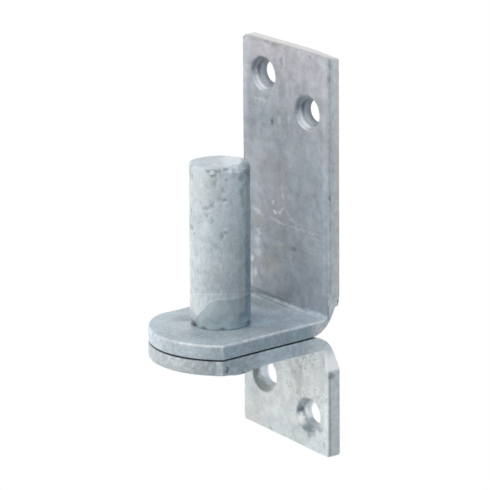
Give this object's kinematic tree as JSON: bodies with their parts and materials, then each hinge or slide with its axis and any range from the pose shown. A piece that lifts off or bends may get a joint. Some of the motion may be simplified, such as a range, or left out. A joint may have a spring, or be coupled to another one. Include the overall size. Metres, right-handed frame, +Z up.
{
  "type": "gate hinge pin",
  "caption": "Upright round pin riveted through the tongues of folded wall brackets with staggered fixing holes; a gate's hinge eye drops over it and turns on it.",
  "frame": {"origin": "on the pin's axis at the hinge seat, the top face of the upper bracket's tongue", "axes": "+Z up along the pin, +Y back towards the wall or post, +X to the right seen from the front"},
  "size_m": [0.04, 0.056, 0.1291],
  "materials": {
    "upper_zinc": "hot-dip galvanised, dull blue-grey",
    "lower_zinc": "hot-dip galvanised, pale warm grey",
    "pin_zinc": "hot-dip galvanised, lumpy and pale"
  },
  "bodies": {
    "root": {"upper_bracket": "upper_zinc", "lower_bracket": "lower_zinc", "hinge_pin": "pin_zinc"}
  },
  "joints": []
}
